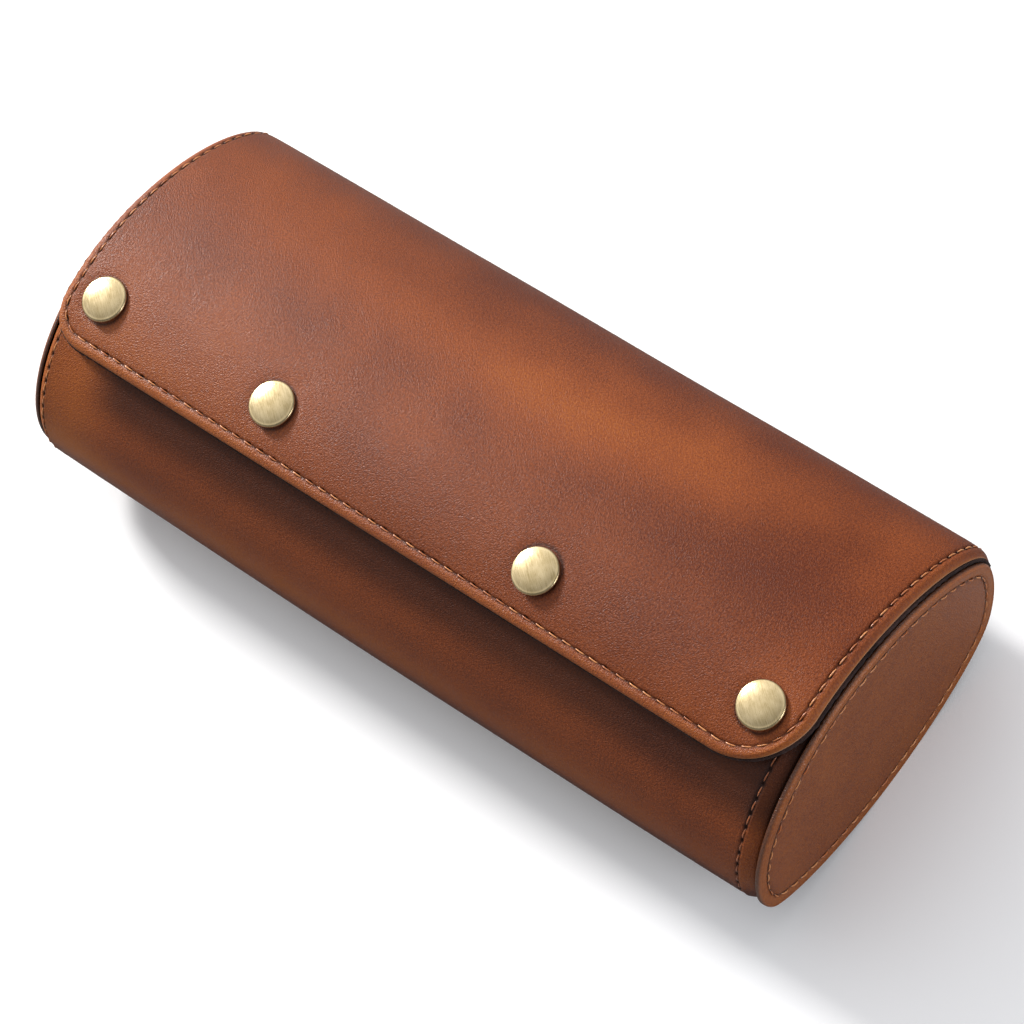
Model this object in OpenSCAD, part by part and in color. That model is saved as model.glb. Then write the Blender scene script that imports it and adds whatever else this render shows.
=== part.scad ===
// Leather travel case for three watches: an oval tube lying on its flat side,
// with a snap-down flap, three compartments and three lift-out cushions.
// +X runs along the case, -Y is the front where the flap closes, +Z is up.
// The origin is on the floor, under the middle of the case.

/* [Case] */
// Overall length over both end panels
case_length = 241.4; // [220:0.2:260]
// Front-to-back depth of the oval body
body_depth = 98.8; // [94:0.2:106]
// Height of the oval body
body_height = 62; // [60:0.5:68]
// Squareness of the oval in percent of its height: below zero fills the corners less
square_percent = -1.29; // [-1.6:0.05:-0.8]
// How much flatter the underside is than the top, in percent of the height
belly_percent = -2.18; // [-2.4:0.05:-1.6]
// How far the oval leans towards the back, in percent of the height
lean_percent = 1.13; // [0.65:0.05:1.3]
// Flattening of the crown in percent of the height
crest_percent = 0.73; // [0.3:0.05:0.8]
// Depth of the flat that the underside rests on
base_flat = 0.5; // [0.3:0.05:0.55]

/* [Walls] */
// Thickness of the outer leather
leather_t = 1.6; // [1.2:0.1:2]
// Thickness of the stiffening board inside the wall
board_t = 1.2; // [0.8:0.1:1.6]
// Thickness of the suede lining
lining_t = 0.8; // [0.5:0.1:1]

/* [Ends] */
// Thickness of an end panel at its turned rim
end_panel_t = 2.1; // [1.9:0.1:2.6]
// Leather thickness of an end panel
end_leather_t = 1.3; // [1.1:0.1:1.4]
// How far an end panel's outline stays inside the body's
end_inset = 0.1; // [0.1:0.1:0.6]
// Open groove between the body's edge and an end panel
end_groove = 0.6; // [0.4:0.1:0.9]
// How far the wrap is drawn in where it meets that groove
end_draw = 1.6; // [1:0.1:2]
// Length of the wrap that is drawn in, from its end seam to the groove
end_draw_w = 3.6; // [3:0.1:5]
// Width of the collar that joins the body to an end panel
collar_w = 10.2; // [9:0.1:12]

/* [Mouth and dividers] */
// Angle of the back edge of the mouth and of the flap's fold, from the back
hinge_angle = 20; // [16:1:26]
// Distance from the snap row back to the lip of the mouth
lip_margin = 6.5; // [6:0.1:8]
// Thickness of a divider's board
divider_board_t = 2; // [1.6:0.1:2.4]
// Thickness of the suede on each side of a divider
divider_cover_t = 0.6; // [0.4:0.1:0.8]
// How far the dividers' top edge lies below the crown of the body
divider_drop = 13.5; // [12.5:0.5:15]

/* [Flap] */
// Thickness of the flap's leather
flap_leather_t = 1.5; // [1.2:0.1:1.8]
// Thickness of the flap's suede lining
flap_lining_t = 0.9; // [0.6:0.1:1.1]
// Distance from an end panel's outer face to the flap's side edge
flap_side_inset = 2.5; // [2:0.1:4]
// Angle of the flap's front edge, from the back
flap_edge_angle = 120.7; // [116:0.1:125]
// Corner radius of the flap's front corners
flap_corner_r = 14.5; // [10:0.5:18]
// How far the suede shows past the leather's edge
lining_reveal = 0.7; // [0.3:0.1:1]
// Gap under the flap at the fold
flap_gap_back = 0.3; // [0.3:0.05:0.4]
// Gap under the flap at the snap row
flap_gap_snap = 1.6; // [1.5:0.1:2]
// Angle of the lower edge of the leather that anchors the flap to the back
anchor_angle = -22; // [-34:1:-12]
// Open slit at the fold, between the anchor and the flap
hinge_slit = 0.3; // [0.25:0.05:0.4]

/* [Snaps] */
// Diameter of a snap's cap
cap_d = 12.5; // [11.5:0.1:13]
// Height of a snap's cap
cap_h = 2; // [1.6:0.1:2.4]
// Distance from the snap row to the flap's front edge
snap_setback = 14.8; // [13:0.1:17]
// Distance from the flap's left side to the first snap
snap_left_inset = 12.5; // [10:0.1:14]
// Distance from the first snap to the second
snap_left_pitch = 57.8; // [50:0.1:62]
// Distance from the third snap to the fourth
snap_right_pitch = 67.4; // [60:0.1:72]
// Distance from the fourth snap to the flap's right side
snap_right_inset = 12.8; // [10:0.1:14]
// Diameter of a snap stud's head
stud_d = 4; // [3.6:0.1:4]
// Height of a snap stud
stud_h = 2.4; // [2.2:0.1:2.5]
// Diameter of a snap post's shank
post_d = 2; // [1.6:0.1:2.2]
// Diameter of a snap post's flange
post_flange_d = 8; // [7:0.1:9]

/* [Cushions] */
// Front-to-back width of a cushion
cushion_w = 58; // [52:0.5:59]
// Height of a cushion
cushion_h = 40; // [36:0.5:41]
// Gap between a cushion and the sides of its compartment
cushion_side_gap = 1.6; // [1:0.1:3]
// Distance of the cushions' middle behind the middle of the oval
cushion_back = 2.5; // [1.5:0.1:3.5]
// Thickness of a cushion's cover
cushion_cover_t = 0.8; // [0.5:0.1:1.2]
// Sharpness of a cushion's ends: higher is squarer
cushion_fullness = 5; // [4:0.5:7]

/* [Hidden] */

leather = [0.49, 0.23, 0.13];
dark_leather = [0.38, 0.17, 0.10];
suede = [0.27, 0.17, 0.12];
board_grey = [0.55, 0.50, 0.44];
microfibre = [0.72, 0.64, 0.53];
foam = [0.90, 0.87, 0.78];
brass = [0.83, 0.72, 0.50];
spring_brass = [0.70, 0.60, 0.40];

degrees = 180 / PI;
// Angle between two neighbouring points of the oval
oval_step = 4.5;
// Length that runs well past any solid it cuts
past = 20;
// Clearance between pieces that lie on each other but belong to different bodies
rest_gap = 0.3;

// The oval is an envelope: support(a) is its distance from the centre along the direction a,
// where 0 is the back, 90 the top and 180 the front, so a parallel wall only adds its offset.
section_square = body_height * square_percent / 100;
section_belly = body_height * belly_percent / 100;
section_lean = body_height * lean_percent / 100;
section_crest = body_height * crest_percent / 100;
section_mean = (body_depth + body_height) / 4 - section_square;
section_stretch = (body_depth - body_height) / 4;

function support(a) =
    section_mean + section_stretch * cos(2 * a) + section_belly * sin(3 * a)
    + section_square * cos(4 * a) + section_lean * sin(4 * a) + section_crest * sin(5 * a);
function support_slope(a) =
    -2 * section_stretch * sin(2 * a) + 3 * section_belly * cos(3 * a)
    - 4 * section_square * sin(4 * a) + 4 * section_lean * cos(4 * a) + 5 * section_crest * cos(5 * a);
function support_bend(a) =
    -4 * section_stretch * cos(2 * a) - 9 * section_belly * sin(3 * a)
    - 16 * section_square * cos(4 * a) - 16 * section_lean * sin(4 * a) - 25 * section_crest * sin(5 * a);
// Radius of curvature of the oval where it faces a
function radius_at(a) = support(a) + support_bend(a);

flap_t = flap_leather_t + flap_lining_t;
anchor_t = flap_t + flap_gap_back;
wall_t = leather_t + board_t + lining_t;
section_y = -anchor_t / 2;
section_z = support(270) - base_flat;

// Point of the oval that faces a, moved outwards by off
function oval(a, off = 0) = [
    (support(a) + off) * cos(a) - support_slope(a) * sin(a) + section_y,
    (support(a) + off) * sin(a) + support_slope(a) * cos(a) + section_z
];
function smooth(t) = let (u = min(max(t, 0), 1)) u * u * (3 - 2 * u);
function arc_angle(length, a, off) = length / (radius_at(a) + off) * degrees;
// The oval's own angles between a0 and a1, with both of these at the ends
function angles(a0, a1) = concat(
    [a0],
    [for (i = [floor(a0 / oval_step) + 1:ceil(a1 / oval_step) - 1]) i * oval_step],
    [a1]
);

// Places along X, the same at both ends
half = case_length / 2;
panel_in = half - end_panel_t;
wrap_end = panel_in - end_groove;
draw_x = wrap_end - end_draw_w;
mouth_half = panel_in - collar_w;
end_lining_in = panel_in - lining_t;
flap_half = half - flap_side_inset;
end_board_t = end_panel_t - end_leather_t;

// Places round the oval
flap_out = flap_gap_snap + flap_t;
snap_angle = flap_edge_angle - arc_angle(snap_setback, flap_edge_angle, flap_out);
lip_angle = snap_angle - arc_angle(lip_margin, snap_angle, 0);
flap_start = hinge_angle + arc_angle(hinge_slit, hinge_angle, anchor_t);
lining_edge_angle = flap_edge_angle + arc_angle(lining_reveal, flap_edge_angle, flap_gap_snap);
function flap_gap(a) =
    flap_gap_back + (flap_gap_snap - flap_gap_back) * smooth((a - hinge_angle) / (snap_angle - hinge_angle));

snap_xs = [
    -flap_half + snap_left_inset,
    -flap_half + snap_left_inset + snap_left_pitch,
    flap_half - snap_right_inset - snap_right_pitch,
    flap_half - snap_right_inset
];

// Dividers and cushions share the mouth's length equally
divider_top = body_height - base_flat - divider_drop;
divider_t = divider_board_t + 2 * divider_cover_t;
clear_w = (2 * mouth_half - 2 * divider_t) / 3;
divider_x = (clear_w + divider_t) / 2;
cushion_pitch = clear_w + divider_t;
cushion_length = clear_w - 2 * cushion_side_gap;
cushion_y = section_y + cushion_back;
// The lining's lowest point is a wall's thickness above the bottom of the whole oval
cushion_z = wall_t - base_flat + rest_gap + cushion_h / 2;
cushion_sides = 28;
cushion_rings = 10;

// Snap sizes that follow from the ones above
$fn = 48;
snap_clearance = 0.05;
cap_lip = 0.35;
cap_crown = 0.35;
cap_edge_round = 0.9;
cap_shell_t = 0.6;
shank_out_r = 3.4;
shank_wall = 0.45;
flap_hole_r = shank_out_r + 0.1;
stud_flange_t = 0.3;
stud_neck_r = stud_d / 2 - 0.4;
stud_head_h = 1.4;
stud_round = 0.8;
stud_roof = 0.5;
socket_foot = stud_flange_t + 0.15;
socket_r = 4.8;
socket_top = flap_gap_snap - flange_rise(socket_r, snap_angle, flap_gap_snap);
socket_mouth_r = stud_d / 2 + 1.1;
socket_cavity_r = socket_mouth_r + 0.5;
socket_lip_t = 0.3;
socket_roof_t = 0.2;
spring_h = 0.3;
spring_in_r = stud_d / 2 + 0.9;
spring_split = 1.2;
shank_end = socket_top - socket_roof_t + snap_clearance;
wall_hole_r = post_d / 2 + 0.1;
post_flange_t = 0.6;
// A flat flange of radius r stays this far inside the curved lining that it is set against
function flange_rise(r, a, off) =
    let (bend = radius_at(a) + off) r * r / (2 * bend) + bend * (1 - cos(oval_step / 2)) + snap_clearance;

// Frames and outlines ---------------------------------------------------------

// Runs a (Y, Z) outline along X from x0 to x1
module along_x(x0, x1) {
    translate([x0, 0, 0]) rotate([90, 0, 90]) linear_extrude(x1 - x0) children();
}

// Both ends at once: the left is the mirror image of the right
module at_end(side) {
    if (side == "right") children();
    else mirror([1, 0, 0]) children();
}

// The whole oval, off outside the body's surface
module oval_disc(off) {
    polygon([for (i = [0:360 / oval_step - 1]) oval(i * oval_step, off)]);
}

module oval_ring(inner, outer) {
    difference() {
        oval_disc(outer);
        oval_disc(inner);
    }
}

// Solid that follows the oval through the rings [x, offset]
module oval_loft(rings) {
    n = 360 / oval_step;
    last = len(rings) - 1;
    points = [for (r = rings, i = [0:n - 1]) let (p = oval(i * oval_step, r[1])) [r[0], p[0], p[1]]];
    skin = [for (r = [0:last - 1], i = [0:n - 1])
        let (j = (i + 1) % n) [r * n + i, (r + 1) * n + i, (r + 1) * n + j, r * n + j]];
    polyhedron(
        points = points,
        faces = concat(skin, [[for (i = [0:n - 1]) i]], [[for (i = [n - 1:-1:0]) last * n + i]])
    );
}

// Offset of one of the wall's faces where its ends are drawn in: the layers are skived thinner there
function drawn(off) = off * (1 - end_draw / wall_t) - end_draw;

// Everything inside one of the wall's faces, out to the end panels' outer faces
module inside_face(off) {
    oval_loft([
        [-half, drawn(off)], [-wrap_end, drawn(off)], [-draw_x, off],
        [draw_x, off], [wrap_end, drawn(off)], [half, drawn(off)]
    ]);
}

// Layer of the wall between two of its faces, from x0 to x1
module wall_layer(x0, x1, inner, outer) {
    intersection() {
        difference() {
            inside_face(outer);
            inside_face(inner);
        }
        along_x(x0, x1) oval_disc(wall_t);
    }
}

// Everything below the floor
module underfloor() {
    translate([-half, -body_depth, -past]) cube([case_length, 2 * body_depth, past]);
}

// Wall through a list of angles, whose inner and outer offsets may change with the angle
module wall_arc(places, inner, outer) {
    last = len(places) - 1;
    polygon(concat(
        [for (a = places) oval(a, outer(a))],
        [for (i = [last:-1:0]) oval(places[i], inner(places[i]))]
    ));
}

// Opening on top of the body, between the flap's fold and the lip
module mouth_outline() {
    wall_arc(angles(hinge_angle, lip_angle), function (a) -2 * wall_t, function (a) wall_t);
}

module mouth() {
    along_x(-mouth_half, mouth_half) mouth_outline();
}

// Children are drawn at each snap, with +Z along the snap and 0 on the body's leather
module at_snaps() {
    foot = oval(snap_angle);
    for (x = snap_xs)
        translate([x, foot[0], foot[1]]) rotate([snap_angle - 90, 0, 0]) children();
}

module snap_holes(r) {
    at_snaps() translate([0, 0, -past / 2]) cylinder(r = r, h = past);
}

// Body ------------------------------------------------------------------------

module outer_wrap() color(leather) difference() {
    wall_layer(-wrap_end, wrap_end, -leather_t, 0);
    underfloor();
    mouth();
    snap_holes(wall_hole_r);
}

module shell_board() color(board_grey) difference() {
    along_x(-mouth_half, mouth_half) difference() {
        oval_ring(-leather_t - board_t, -leather_t);
        mouth_outline();
    }
    snap_holes(wall_hole_r);
}

module shell_lining() color(suede) difference() {
    wall_layer(-end_lining_in, end_lining_in, -wall_t, -leather_t - board_t);
    mouth();
    snap_holes(wall_hole_r);
}

module collar(side) color(dark_leather) difference() {
    at_end(side) wall_layer(mouth_half, panel_in, -leather_t - board_t, -leather_t);
    snap_holes(wall_hole_r);
}

// Profile of an end panel from the groove to the outer face: [x, offset]
function end_profile() = concat(
    [[panel_in, -end_inset]],
    [for (k = [0:22.5:90]) [
        half - end_leather_t * (1 - sin(k)),
        -end_inset - end_leather_t * (1 - cos(k))
    ]]
);

// A leather cap whose edge is turned over the end board
module end_panel(side) color(leather) at_end(side) difference() {
    oval_loft(end_profile());
    along_x(panel_in - past, panel_in + end_board_t) oval_disc(-end_inset - end_leather_t);
}

module end_board(side) color(board_grey) at_end(side)
    along_x(panel_in, panel_in + end_board_t) oval_disc(-end_inset - end_leather_t);

module end_lining(side) color(suede) at_end(side)
    along_x(end_lining_in, panel_in) oval_disc(drawn(-leather_t - board_t));

// Dividers --------------------------------------------------------------------

// Inside of the body up to the height top
module divider_outline(top) {
    difference() {
        oval_disc(-wall_t);
        translate([-body_depth, top]) square([2 * body_depth, body_height]);
    }
}

// The board stops short of the cover's fold over its top edge
module divider_board(side) color(board_grey) at_end(side)
    along_x(divider_x - divider_board_t / 2, divider_x + divider_board_t / 2)
        divider_outline(divider_top - divider_cover_t);

module divider_cover(side) color(suede) at_end(side) difference() {
    along_x(divider_x - divider_t / 2, divider_x + divider_t / 2) divider_outline(divider_top);
    along_x(divider_x - divider_board_t / 2, divider_x + divider_board_t / 2)
        translate([-body_depth, -past]) square([2 * body_depth, past + divider_top - divider_cover_t]);
}

// Flap ------------------------------------------------------------------------

module flap_anchor() color(leather)
    along_x(-flap_half, flap_half)
        wall_arc(angles(anchor_angle, hinge_angle), function (a) 0, function (a) anchor_t);

// Cuts a front corner round, square to the flap's surface there
module flap_corner_cut(edge_angle, grow) {
    r = flap_corner_r + grow;
    tip = oval(edge_angle, flap_gap_snap);
    for (side = [-1, 1])
        translate([0, tip[0], tip[1]]) rotate([(edge_angle + snap_angle) / 2 - 90, 0, 0])
            translate([0, 0, -past / 2]) linear_extrude(past) scale([side, 1]) difference() {
                translate([flap_half + grow - r, -past]) square([r + past, r + past]);
                translate([flap_half + grow - r, r]) circle(r);
            }
}

module flap_leather() color(leather) difference() {
    along_x(-flap_half, flap_half) wall_arc(
        angles(flap_start, flap_edge_angle),
        function (a) flap_gap(a) + flap_lining_t, function (a) flap_gap(a) + flap_t
    );
    flap_corner_cut(flap_edge_angle, 0);
    snap_holes(flap_hole_r);
}

module flap_lining() color(suede) difference() {
    along_x(-flap_half - lining_reveal, flap_half + lining_reveal) wall_arc(
        concat(angles(flap_start, flap_edge_angle), [lining_edge_angle]),
        function (a) flap_gap(a), function (a) flap_gap(a) + flap_lining_t
    );
    flap_corner_cut(lining_edge_angle, lining_reveal);
    snap_holes(flap_hole_r);
}

// Snaps -----------------------------------------------------------------------

// Domed cap with the shank that passes through the flap
module snap_caps() color(brass) at_snaps() translate([0, 0, flap_out]) rotate_extrude()
    polygon(concat(
        [[shank_out_r - shank_wall, shank_end - flap_out], [shank_out_r, shank_end - flap_out]],
        [[shank_out_r, 0], [cap_d / 2 - cap_lip, 0], [cap_d / 2, cap_lip]],
        [for (k = [0:15:90]) [
            cap_d / 2 - cap_edge_round * (1 - cos(k)),
            cap_h - cap_crown - cap_edge_round * (1 - sin(k))
        ]],
        [[cap_d / 4, cap_h - cap_crown / 4], [0, cap_h]],
        [[0, cap_shell_t], [shank_out_r - shank_wall, cap_shell_t]]
    ));

module snap_sockets() color(spring_brass) at_snaps() rotate_extrude()
    polygon([
        [socket_mouth_r, socket_foot],
        [socket_r, socket_foot],
        [socket_r, socket_top],
        [shank_out_r + snap_clearance, socket_top],
        [shank_out_r + snap_clearance, socket_top - socket_roof_t],
        [socket_cavity_r, socket_top - socket_roof_t],
        [socket_cavity_r, socket_foot + socket_lip_t],
        [socket_mouth_r, socket_foot + socket_lip_t]
    ]);

// Split spring rings that lie on the sockets' lips
module snap_springs() color(spring_brass) at_snaps()
    translate([0, 0, socket_foot + socket_lip_t]) linear_extrude(spring_h) difference() {
        circle(socket_cavity_r - snap_clearance);
        circle(spring_in_r);
        translate([0, -spring_split / 2]) square([socket_r, spring_split]);
    }

module snap_studs() color(brass) at_snaps() rotate_extrude()
    polygon(concat(
        [[wall_hole_r, 0], [post_flange_d / 2, 0], [post_flange_d / 2, stud_flange_t]],
        [[stud_neck_r, stud_flange_t], [stud_neck_r, stud_h - stud_head_h]],
        [[stud_d / 2, stud_h - stud_head_h + (stud_head_h - stud_round) / 2]],
        [for (k = [0:22.5:90]) [
            stud_d / 2 - stud_round * (1 - cos(k)),
            stud_h - stud_round * (1 - sin(k))
        ]],
        [[0, stud_h], [0, stud_h - stud_roof], [post_d / 2 + snap_clearance, stud_h - stud_roof]],
        [[post_d / 2 + snap_clearance, 0]]
    ));

// Posts that hold the studs from inside the body
module snap_posts() color(spring_brass) at_snaps() {
    flange_top = -wall_t - flange_rise(post_flange_d / 2, snap_angle, -wall_t);
    translate([0, 0, flange_top - post_flange_t]) cylinder(d = post_flange_d, h = post_flange_t);
    translate([0, 0, flange_top - post_flange_t / 2])
        cylinder(d = post_d, h = stud_h - stud_roof - snap_clearance - flange_top + post_flange_t / 2);
}

// Cushions --------------------------------------------------------------------

// Pillow with crowned sides and rounded, drawn-in ends; inset makes it smaller all round
module pillow(inset) {
    half_x = cushion_length / 2 - inset;
    half_y = cushion_w / 2 - inset;
    half_z = cushion_h / 2 - inset;
    power = 2 / cushion_fullness;
    turn = 360 / cushion_sides;
    rings = [for (k = [1:cushion_rings]) let (t = 180 * k / (cushion_rings + 1))
        [-sign(cos(t)) * pow(abs(cos(t)), power) * half_x, pow(sin(t), power)]];
    points = concat(
        [for (r = rings, i = [0:cushion_sides - 1])
            [r[0], r[1] * half_y * cos(i * turn), r[1] * half_z * sin(i * turn)]],
        [[-half_x, 0, 0], [half_x, 0, 0]]
    );
    first_pole = cushion_rings * cushion_sides;
    faces = [for (i = [0:cushion_sides - 1]) let (j = (i + 1) % cushion_sides) each concat(
        [[first_pole, i, j]],
        [for (r = [0:cushion_rings - 2]) each [
            [r * cushion_sides + i, (r + 1) * cushion_sides + i, (r + 1) * cushion_sides + j],
            [r * cushion_sides + i, (r + 1) * cushion_sides + j, r * cushion_sides + j]
        ]],
        [[first_pole + 1, first_pole - cushion_sides + j, first_pole - cushion_sides + i]]
    )];
    polyhedron(points = points, faces = faces);
}

module at_cushion(place) {
    translate([place * cushion_pitch, cushion_y, cushion_z]) children();
}

module cushion_cover(place) color(microfibre) at_cushion(place) difference() {
    pillow(0);
    pillow(cushion_cover_t);
}

module cushion_core(place) color(foam) at_cushion(place) pillow(cushion_cover_t);

// Nodes -----------------------------------------------------------------------

outer_wrap();
shell_board();
shell_lining();
end_panel("left");  // left_end_panel
end_panel("right");  // right_end_panel
end_board("left");  // left_end_board
end_board("right");  // right_end_board
end_lining("left");  // left_end_lining
end_lining("right");  // right_end_lining
collar("left");  // left_collar
collar("right");  // right_collar
divider_board("left");  // left_divider_board
divider_board("right");  // right_divider_board
divider_cover("left");  // left_divider_cover
divider_cover("right");  // right_divider_cover
flap_anchor();
snap_studs();
snap_posts();
flap_leather();
flap_lining();
snap_caps();
snap_sockets();
snap_springs();
cushion_cover(-1);  // left_cushion_cover
cushion_core(-1);  // left_cushion_core
cushion_cover(0);  // middle_cushion_cover
cushion_core(0);  // middle_cushion_core
cushion_cover(1);  // right_cushion_cover
cushion_core(1);  // right_cushion_core
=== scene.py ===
"""Looks of the leather watch travel case: hides, suede, thread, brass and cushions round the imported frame.

All lengths are metres. The leather is modelled in flat coordinates: x along the case and s along the
hide, measured from the lower edge of the anchor on the back to the flap's front edge.
"""

import math

import bpy
import numpy as np
from mathutils import Euler, Matrix, Vector


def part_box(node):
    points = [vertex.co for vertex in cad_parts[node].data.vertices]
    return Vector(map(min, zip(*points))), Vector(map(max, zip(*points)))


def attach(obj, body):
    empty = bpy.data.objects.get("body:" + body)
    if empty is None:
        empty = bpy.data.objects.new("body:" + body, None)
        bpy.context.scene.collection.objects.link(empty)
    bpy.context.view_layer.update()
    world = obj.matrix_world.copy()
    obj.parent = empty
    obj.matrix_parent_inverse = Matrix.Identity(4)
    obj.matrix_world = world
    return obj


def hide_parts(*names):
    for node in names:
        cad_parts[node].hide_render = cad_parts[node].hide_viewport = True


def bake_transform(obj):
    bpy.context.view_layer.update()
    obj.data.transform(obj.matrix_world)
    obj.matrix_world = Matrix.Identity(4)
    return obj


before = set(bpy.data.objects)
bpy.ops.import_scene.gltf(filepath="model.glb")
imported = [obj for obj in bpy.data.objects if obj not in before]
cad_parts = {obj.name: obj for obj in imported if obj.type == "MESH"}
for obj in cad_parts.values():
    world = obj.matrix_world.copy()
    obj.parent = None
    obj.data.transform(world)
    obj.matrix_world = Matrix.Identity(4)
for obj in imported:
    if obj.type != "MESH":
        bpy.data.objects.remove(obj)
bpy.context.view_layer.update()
scene = bpy.context.scene
MM = 0.001


def box(node):
    low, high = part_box(node)
    return np.array(low), np.array(high)


# --- Sizes that the frame gives ---

wrap_low, wrap_high = box("outer_wrap")
panel_low, panel_high = box("right_end_panel")
divider_low, divider_high = box("right_divider_cover")
PANEL_IN, HALF = panel_low[0], panel_high[0]
WRAP_END = wrap_high[0]
FLAP_HALF = box("flap_leather")[1][0]
MOUTH_HALF = box("shell_board")[1][0]
LINING_END = box("right_end_lining")[0][0]
BODY_Y = (wrap_low[1] + wrap_high[1]) / 2
BODY_DEPTH = wrap_high[1] - wrap_low[1]

# --- Sizes shared with the construction ---

BASE_FLAT = 0.5 * MM
BODY_HEIGHT = wrap_high[2] + BASE_FLAT
SQUARE, BELLY, LEAN, CREST = (BODY_HEIGHT * percent / 100 for percent in (-1.29, -2.18, 1.13, 0.73))
LEATHER_T, BOARD_T, LINING_T = 1.6 * MM, 1.2 * MM, 0.8 * MM
WALL_T = LEATHER_T + BOARD_T + LINING_T
END_LEATHER_T = 1.3 * MM
END_DRAW, END_DRAW_W = 1.6 * MM, 3.6 * MM
LEFT_DRAW, LEFT_DRAW_W = 1.0 * MM, 2.0 * MM
DRAW_X = WRAP_END - END_DRAW_W
HINGE_ANGLE, ANCHOR_ANGLE, EDGE_ANGLE = 20.0, -22.0, 120.7
FLAP_LEATHER_T, FLAP_LINING_T = 1.5 * MM, 0.9 * MM
FLAP_T = FLAP_LEATHER_T + FLAP_LINING_T
GAP_BACK, GAP_SNAP = 0.3 * MM, 1.6 * MM
LEFT_CORNER_R, RIGHT_CORNER_R = 11.5 * MM, 20.0 * MM
LINING_REVEAL = 0.7 * MM
SNAP_SETBACK, LIP_MARGIN = 14.8 * MM, 6.5 * MM
SNAP_LEFT_INSET, SNAP_LEFT_PITCH = 12.5 * MM, 57.8 * MM
SNAP_RIGHT_PITCH, SNAP_RIGHT_INSET = 67.4 * MM, 12.8 * MM
CAP_D, CAP_H = 12.5 * MM, 2.0 * MM

# --- Sewing and finish ---

STITCH_PITCH, STITCH_HOLE = 4.1 * MM, 0.95 * MM
THREAD_R, THREAD_DIP, THREAD_RISE, THREAD_LEAN = 0.18 * MM, 0.45 * MM, 0.60 * MM, 0.1 * MM
FLAP_SEAM_INSET, FRONT_SEAM_INSET = 2.7 * MM, 3.35 * MM
LEFT_SEAM_CORNER_R, RIGHT_SEAM_CORNER_R = 8.0 * MM, 16.0 * MM
LEFT_SEAM_INSET, RIGHT_SEAM_INSET = 2.1 * MM, 4.6 * MM
END_SEAM_INSET = 3.4 * MM
VALLEY_DEPTH, VALLEY_W = 0.22 * MM, 0.42 * MM
DROOP, DROOP_W = 1.3 * MM, 3.6 * MM
EDGE_R, FLAP_EDGE_R = 0.75 * MM, 1.1 * MM
HOLE_DEPTH, HOLE_R = 0.55 * MM, 0.44 * MM
GRID, NEAR_W = 0.52 * MM, 1.5 * MM

# --- Section of the body ---

MEAN_R = (BODY_DEPTH + BODY_HEIGHT) / 4 - SQUARE
STRETCH = (BODY_DEPTH - BODY_HEIGHT) / 4


def support(a):
    return (
        MEAN_R + STRETCH * np.cos(2 * a) + BELLY * np.sin(3 * a)
        + SQUARE * np.cos(4 * a) + LEAN * np.sin(4 * a) + CREST * np.sin(5 * a)
    )


def support_slope(a):
    return (
        -2 * STRETCH * np.sin(2 * a) + 3 * BELLY * np.cos(3 * a)
        - 4 * SQUARE * np.sin(4 * a) + 4 * LEAN * np.cos(4 * a) + 5 * CREST * np.cos(5 * a)
    )


def radius_at(degrees):
    a = math.radians(degrees)
    bend = (
        -4 * STRETCH * math.cos(2 * a) - 9 * BELLY * math.sin(3 * a)
        - 16 * SQUARE * math.cos(4 * a) - 16 * LEAN * math.sin(4 * a) - 25 * CREST * math.sin(5 * a)
    )
    return float(support(a)) + bend


BODY_Z = float(support(math.radians(270))) - BASE_FLAT


def oval(degrees, off=0.0):
    """(y, z) of the oval where it faces the angle, off outside the body's surface."""
    a = np.radians(degrees)
    h, slope = support(a) + off, support_slope(a)
    y = h * np.cos(a) - slope * np.sin(a) + BODY_Y
    z = h * np.sin(a) + slope * np.cos(a) + BODY_Z
    return np.stack([y, z], -1)


def smooth(t):
    t = np.clip(t, 0, 1)
    return t * t * (3 - 2 * t)


def bell(d, width):
    """1 where d is zero, and next to nothing two widths away."""
    return np.exp(-(d / width) ** 2)


def fade(d, length):
    """1 just past zero, dying away over length; nothing before zero."""
    return np.exp(-np.maximum(d, 0) / length) * (d > 0)


def seam_path(points):
    """Length along a polyline."""
    return np.concatenate([[0], np.cumsum(np.linalg.norm(np.diff(points, axis=0), axis=1))])


def at_x(x, yz):
    """Points of a cross-section, put at x."""
    return np.stack([np.broadcast_to(x, yz.shape[:-1]), yz[..., 0], yz[..., 1]], -1)


def arc_angle(length, degrees, off):
    return math.degrees(length / (radius_at(degrees) + off))


SNAP_ANGLE = EDGE_ANGLE - arc_angle(SNAP_SETBACK, EDGE_ANGLE, GAP_SNAP + FLAP_T)
LIP_ANGLE = SNAP_ANGLE - arc_angle(LIP_MARGIN, SNAP_ANGLE, 0)
SNAP_XS = (
    -FLAP_HALF + SNAP_LEFT_INSET,
    -FLAP_HALF + SNAP_LEFT_INSET + SNAP_LEFT_PITCH,
    FLAP_HALF - SNAP_RIGHT_INSET - SNAP_RIGHT_PITCH,
    FLAP_HALF - SNAP_RIGHT_INSET,
)


def flap_gap(degrees):
    rise = smooth((degrees - HINGE_ANGLE) / (SNAP_ANGLE - HINGE_ANGLE))
    return GAP_BACK + (GAP_SNAP - GAP_BACK) * rise


# --- Flat coordinates of the flap ---

table_a = np.linspace(ANCHOR_ANGLE, EDGE_ANGLE + 4, 3000)
table_s = seam_path(oval(table_a, flap_gap(table_a) + FLAP_T))
HINGE_S, SNAP_S, FLAP_S = np.interp([HINGE_ANGLE, SNAP_ANGLE, EDGE_ANGLE], table_a, table_s).tolist()


def flap_point(x, s, h):
    """Point of the flap at x, s and the height h above the leather's outer face."""
    a = np.interp(s, table_s, table_a)
    return at_x(x, oval(a, flap_gap(a) + FLAP_T + h))


def wall_point(x, degrees, off):
    return at_x(x, oval(degrees, off))


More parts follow.
